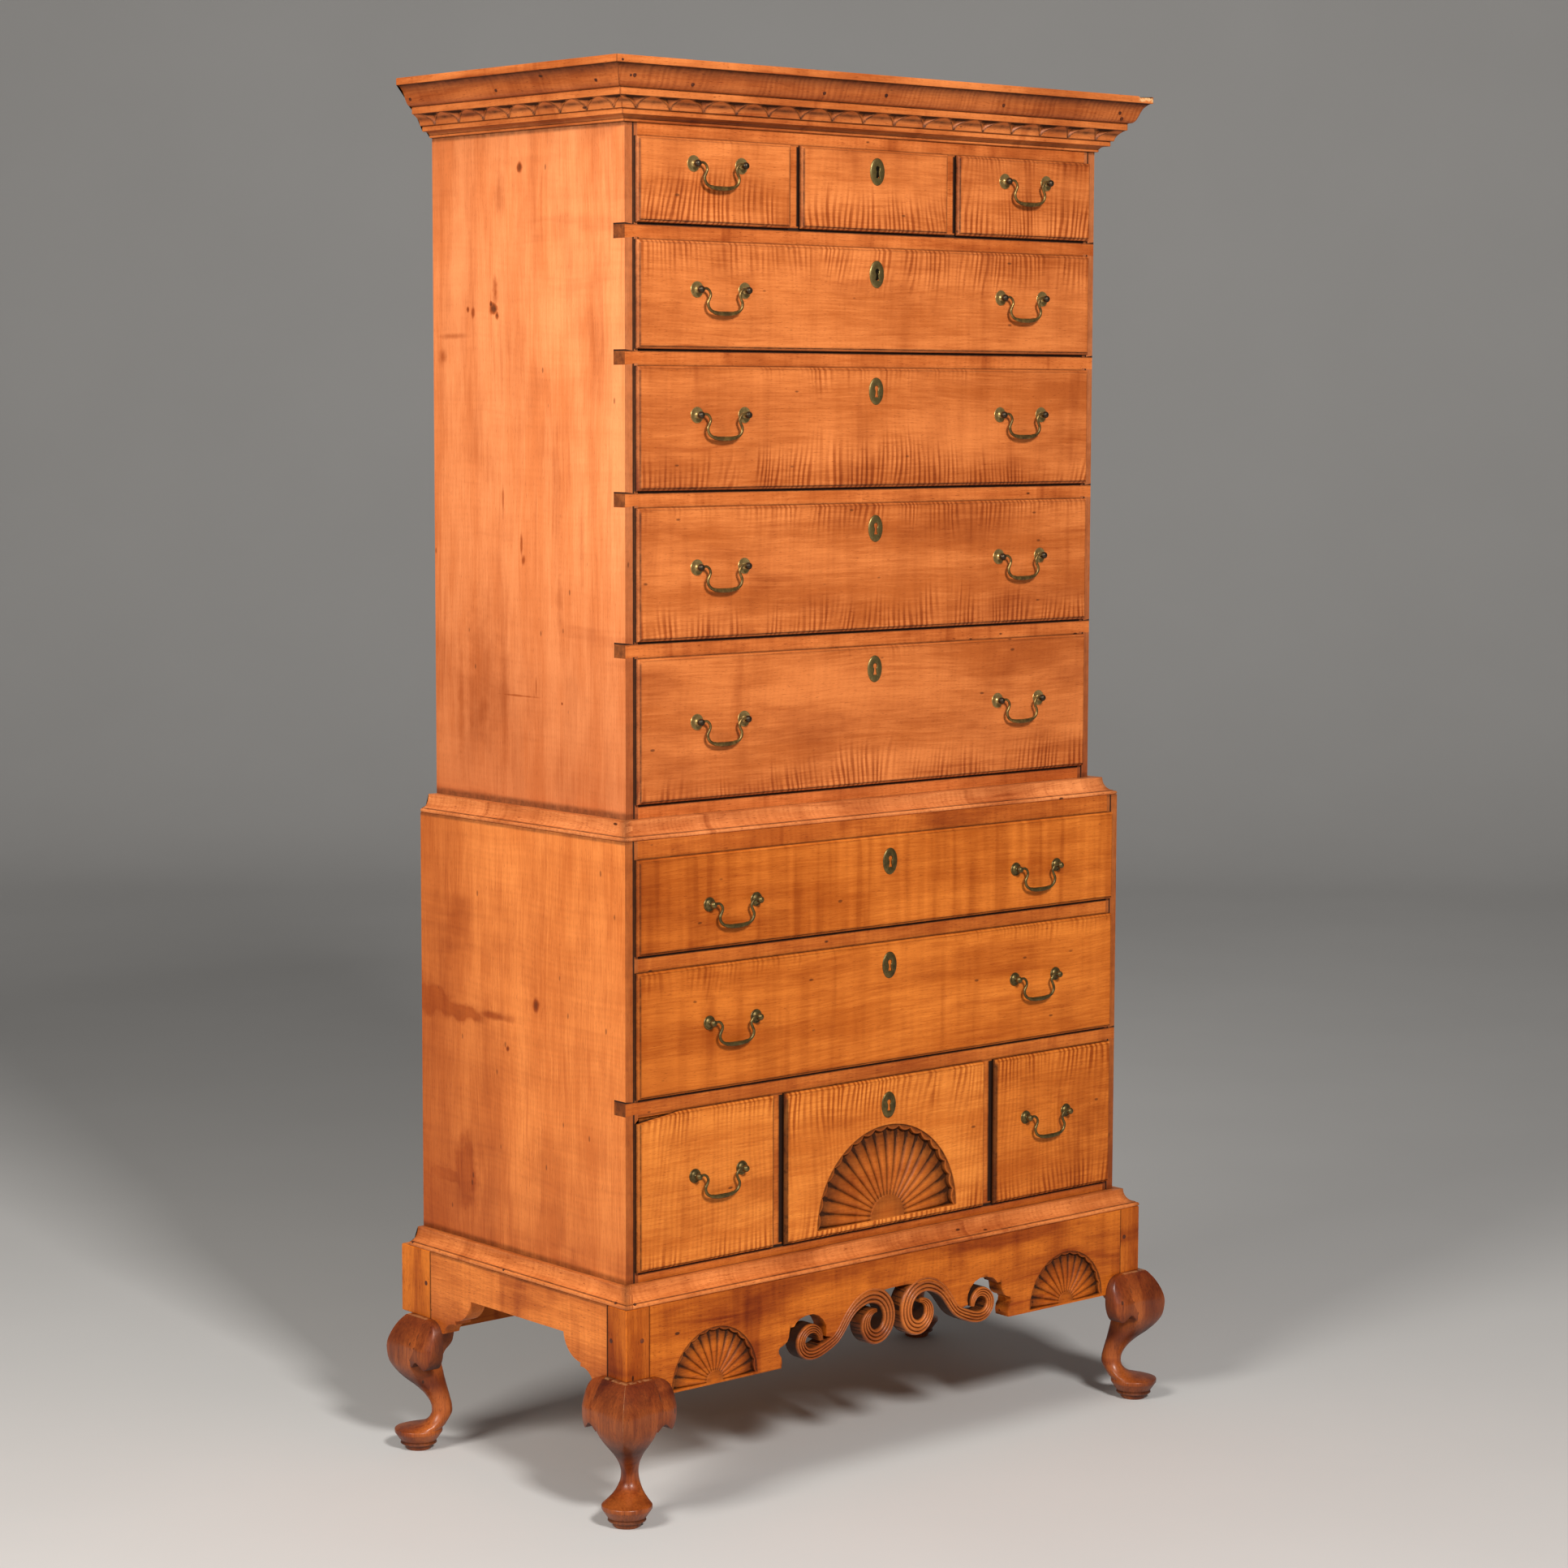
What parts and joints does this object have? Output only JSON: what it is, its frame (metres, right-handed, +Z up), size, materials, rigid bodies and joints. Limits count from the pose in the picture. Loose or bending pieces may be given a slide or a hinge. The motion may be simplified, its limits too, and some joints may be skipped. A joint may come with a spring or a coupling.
{
  "type": "highboy chest of drawers",
  "caption": "Tall two-case chest of drawers on a cabriole-leg frame with a scrolled apron, carved fans, moulded cornice, lipped drawers and swinging brass bail pulls.",
  "frame": {"origin": "on the floor, midway between the four legs", "axes": "+X to the object's right seen from the front, -Y out of the drawer fronts, +Z up"},
  "size_m": [1.0812, 0.5662, 2.006],
  "materials": {
    "maple": "shellac, satin gloss",
    "dark_maple": "shellac, worn gloss",
    "pine": "bare, oxidised",
    "brass": "tarnished"
  },
  "bodies": {
    "case": {"leg_front_left": "dark_maple", "leg_front_right": "dark_maple", "leg_rear_left": "dark_maple", "leg_rear_right": "dark_maple", "knee_brackets": "dark_maple", "front_apron": "maple", "side_aprons": "maple", "rear_apron": "maple", "base_moulding": "maple", "lower_side_left": "maple", "lower_side_right": "maple", "lower_rails": "maple", "waist_moulding": "maple", "upper_side_left": "maple", "upper_side_right": "maple", "upper_rails": "maple", "back_planks": "pine", "case_boards": "pine", "cornice": "maple"},
    "drawer_1_left": {"drawer_1_left": "maple", "brass_1_left": "brass"},
    "bail_1_left": {"bail_1_left": "brass"},
    "drawer_1_middle": {"drawer_1_middle": "maple", "brass_1_middle": "brass"},
    "drawer_1_right": {"drawer_1_right": "maple", "brass_1_right": "brass"},
    "bail_1_right": {"bail_1_right": "brass"},
    "drawer_2": {"drawer_2": "maple", "brass_2": "brass"},
    "bail_2_left": {"bail_2_left": "brass"},
    "bail_2_right": {"bail_2_right": "brass"},
    "drawer_3": {"drawer_3": "maple", "brass_3": "brass"},
    "bail_3_left": {"bail_3_left": "brass"},
    "bail_3_right": {"bail_3_right": "brass"},
    "drawer_4": {"drawer_4": "maple", "brass_4": "brass"},
    "bail_4_left": {"bail_4_left": "brass"},
    "bail_4_right": {"bail_4_right": "brass"},
    "drawer_5": {"drawer_5": "maple", "brass_5": "brass"},
    "bail_5_left": {"bail_5_left": "brass"},
    "bail_5_right": {"bail_5_right": "brass"},
    "drawer_6": {"drawer_6": "maple", "brass_6": "brass"},
    "bail_6_left": {"bail_6_left": "brass"},
    "bail_6_right": {"bail_6_right": "brass"},
    "drawer_7": {"drawer_7": "maple", "brass_7": "brass"},
    "bail_7_left": {"bail_7_left": "brass"},
    "bail_7_right": {"bail_7_right": "brass"},
    "drawer_8_left": {"drawer_8_left": "maple", "brass_8_left": "brass"},
    "bail_8_left": {"bail_8_left": "brass"},
    "drawer_8_middle": {"drawer_8_middle": "maple", "brass_8_middle": "brass"},
    "drawer_8_right": {"drawer_8_right": "maple", "brass_8_right": "brass"},
    "bail_8_right": {"bail_8_right": "brass"}
  },
  "joints": [
    {"name": "slide_1_left", "type": "slide", "parent": "case", "child": "drawer_1_left", "axis": [0, -1, 0], "range_m": [0, 0.36]},
    {"name": "swing_bail_1_left", "type": "hinge", "parent": "drawer_1_left", "child": "bail_1_left", "pos_m": [-0.29825, -0.2028, 1.87198], "axis": [-1, 0, 0], "range_deg": [-12, 175]},
    {"name": "slide_1_middle", "type": "slide", "parent": "case", "child": "drawer_1_middle", "axis": [0, -1, 0], "range_m": [0, 0.36]},
    {"name": "slide_1_right", "type": "slide", "parent": "case", "child": "drawer_1_right", "axis": [0, -1, 0], "range_m": [0, 0.36]},
    {"name": "swing_bail_1_right", "type": "hinge", "parent": "drawer_1_right", "child": "bail_1_right", "pos_m": [0.29825, -0.2028, 1.87198], "axis": [-1, 0, 0], "range_deg": [-12, 175]},
    {"name": "slide_2", "type": "slide", "parent": "case", "child": "drawer_2", "axis": [0, -1, 0], "range_m": [0, 0.36]},
    {"name": "swing_bail_2_left", "type": "hinge", "parent": "drawer_2", "child": "bail_2_left", "pos_m": [-0.292, -0.2028, 1.70101], "axis": [-1, 0, 0], "range_deg": [-12, 175]},
    {"name": "swing_bail_2_right", "type": "hinge", "parent": "drawer_2", "child": "bail_2_right", "pos_m": [0.292, -0.2028, 1.70101], "axis": [-1, 0, 0], "range_deg": [-12, 175]},
    {"name": "slide_3", "type": "slide", "parent": "case", "child": "drawer_3", "axis": [0, -1, 0], "range_m": [0, 0.36]},
    {"name": "swing_bail_3_left", "type": "hinge", "parent": "drawer_3", "child": "bail_3_left", "pos_m": [-0.292, -0.2028, 1.52893], "axis": [-1, 0, 0], "range_deg": [-12, 175]},
    {"name": "swing_bail_3_right", "type": "hinge", "parent": "drawer_3", "child": "bail_3_right", "pos_m": [0.292, -0.2028, 1.52893], "axis": [-1, 0, 0], "range_deg": [-12, 175]},
    {"name": "slide_4", "type": "slide", "parent": "case", "child": "drawer_4", "axis": [0, -1, 0], "range_m": [0, 0.36]},
    {"name": "swing_bail_4_left", "type": "hinge", "parent": "drawer_4", "child": "bail_4_left", "pos_m": [-0.292, -0.2028, 1.31841], "axis": [-1, 0, 0], "range_deg": [-12, 175]},
    {"name": "swing_bail_4_right", "type": "hinge", "parent": "drawer_4", "child": "bail_4_right", "pos_m": [0.292, -0.2028, 1.31841], "axis": [-1, 0, 0], "range_deg": [-12, 175]},
    {"name": "slide_5", "type": "slide", "parent": "case", "child": "drawer_5", "axis": [0, -1, 0], "range_m": [0, 0.36]},
    {"name": "swing_bail_5_left", "type": "hinge", "parent": "drawer_5", "child": "bail_5_left", "pos_m": [-0.292, -0.2028, 1.10306], "axis": [-1, 0, 0], "range_deg": [-12, 175]},
    {"name": "swing_bail_5_right", "type": "hinge", "parent": "drawer_5", "child": "bail_5_right", "pos_m": [0.292, -0.2028, 1.10306], "axis": [-1, 0, 0], "range_deg": [-12, 175]},
    {"name": "slide_6", "type": "slide", "parent": "case", "child": "drawer_6", "axis": [0, -1, 0], "range_m": [0, 0.36]},
    {"name": "swing_bail_6_left", "type": "hinge", "parent": "drawer_6", "child": "bail_6_left", "pos_m": [-0.299, -0.2383, 0.851], "axis": [-1, 0, 0], "range_deg": [-12, 175]},
    {"name": "swing_bail_6_right", "type": "hinge", "parent": "drawer_6", "child": "bail_6_right", "pos_m": [0.299, -0.2383, 0.851], "axis": [-1, 0, 0], "range_deg": [-12, 175]},
    {"name": "slide_7", "type": "slide", "parent": "case", "child": "drawer_7", "axis": [0, -1, 0], "range_m": [0, 0.36]},
    {"name": "swing_bail_7_left", "type": "hinge", "parent": "drawer_7", "child": "bail_7_left", "pos_m": [-0.299, -0.2383, 0.68407], "axis": [-1, 0, 0], "range_deg": [-12, 175]},
    {"name": "swing_bail_7_right", "type": "hinge", "parent": "drawer_7", "child": "bail_7_right", "pos_m": [0.299, -0.2383, 0.68407], "axis": [-1, 0, 0], "range_deg": [-12, 175]},
    {"name": "slide_8_left", "type": "slide", "parent": "case", "child": "drawer_8_left", "axis": [0, -1, 0], "range_m": [0, 0.36]},
    {"name": "swing_bail_8_left", "type": "hinge", "parent": "drawer_8_left", "child": "bail_8_left", "pos_m": [-0.32502, -0.2383, 0.47005], "axis": [-1, 0, 0], "range_deg": [-12, 175]},
    {"name": "slide_8_middle", "type": "slide", "parent": "case", "child": "drawer_8_middle", "axis": [0, -1, 0], "range_m": [0, 0.36]},
    {"name": "slide_8_right", "type": "slide", "parent": "case", "child": "drawer_8_right", "axis": [0, -1, 0], "range_m": [0, 0.36]},
    {"name": "swing_bail_8_right", "type": "hinge", "parent": "drawer_8_right", "child": "bail_8_right", "pos_m": [0.32502, -0.2383, 0.47005], "axis": [-1, 0, 0], "range_deg": [-12, 175]}
  ]
}
